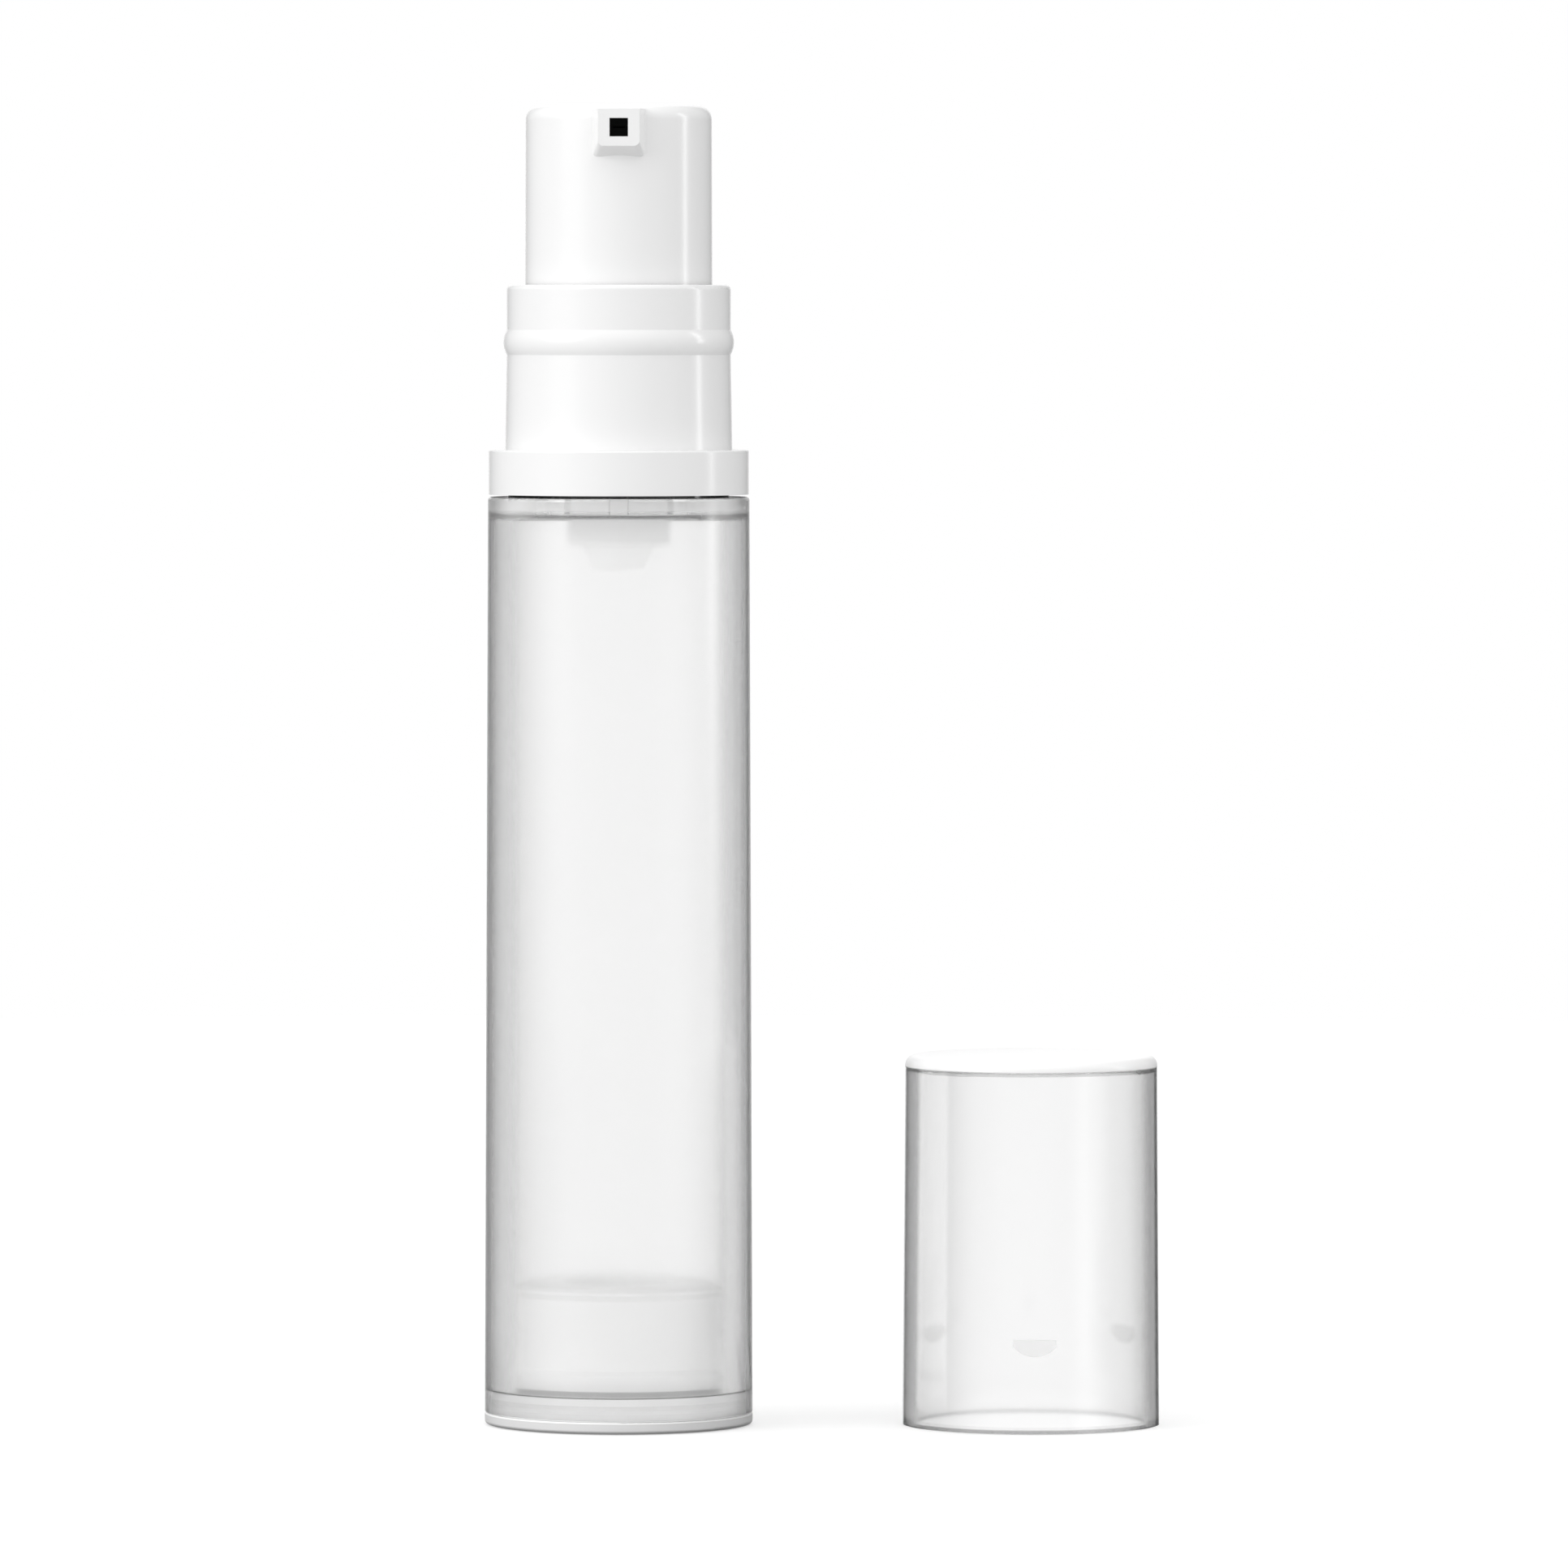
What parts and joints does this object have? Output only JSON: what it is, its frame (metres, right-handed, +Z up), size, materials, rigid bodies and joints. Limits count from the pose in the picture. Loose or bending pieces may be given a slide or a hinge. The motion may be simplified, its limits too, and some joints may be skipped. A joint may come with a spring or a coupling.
{
  "type": "airless pump bottle",
  "caption": "Slim frosted airless pump bottle: follower piston in a thick tube, snap collar, sprung press head with a square outlet, clear pull-off overcap standing beside it.",
  "frame": {"origin": "on the bottle's axis, in the plane of its foot ring on the table", "axes": "+Z up along the bottle's axis, -Y the way the outlet points, +X towards the loose overcap"},
  "size_m": [0.0567, 0.0224, 0.1105],
  "materials": {
    "frosted_clear_plastic": "clear plastic with a fine frosted outside",
    "clear_plastic": "natural clear plastic, slightly milky",
    "white_plastic": "white moulded plastic, smooth semi-gloss",
    "natural_plastic": "milky moulded plastic",
    "soft_seal": "soft, matt",
    "black_rubber": "matt black",
    "spring_steel": "drawn wire"
  },
  "bodies": {
    "bottle": {"bottle_body": "frosted_clear_plastic", "base_plug": "natural_plastic", "neck_gasket": "soft_seal", "pump_housing": "natural_plastic", "ball_retainer": "natural_plastic", "turret": "natural_plastic", "stem_seal": "soft_seal", "collar": "white_plastic", "return_spring": "spring_steel"},
    "plunger": {"stem": "natural_plastic", "poppet": "natural_plastic"},
    "head": {"actuator_shell": "white_plastic", "spout_core": "natural_plastic", "outlet_valve": "black_rubber"},
    "dosing_piston": {"dosing_piston": "soft_seal"},
    "inlet_ball": {"inlet_ball": "spring_steel"},
    "follower": {"follower_piston": "natural_plastic"},
    "overcap": {"overcap": "clear_plastic"}
  },
  "joints": [
    {"name": "head_press", "type": "slide", "parent": "bottle", "child": "plunger", "axis": [0, 0, -1], "range_m": [0, 0.0055], "stiffness_N_per_m": 1450, "springref_m": -0.0028, "deforming": ["return_spring"]},
    {"name": "head_turn", "type": "hinge", "parent": "plunger", "child": "head", "pos_m": [0, 0, 0.1], "axis": [0, 0, 1], "continuous": true},
    {"name": "dosing_slide", "type": "slide", "parent": "bottle", "child": "dosing_piston", "axis": [0, 0, -1], "range_m": [0, 0.0049]},
    {"name": "ball_lift", "type": "slide", "parent": "bottle", "child": "inlet_ball", "axis": [0, 0, 1], "range_m": [0, 0.0007]},
    {"name": "follower_rise", "type": "slide", "parent": "bottle", "child": "follower", "axis": [0, 0, 1], "range_m": [0, 0.0641]},
    {"name": "cap_lift", "type": "slide", "parent": "bottle", "child": "overcap", "axis": [0, 0, 1], "range_m": [0, 0.115]}
  ],
  "couplings": [
    {"joint": "dosing_slide", "follows": "head_press", "ratio": 0.89091}
  ]
}
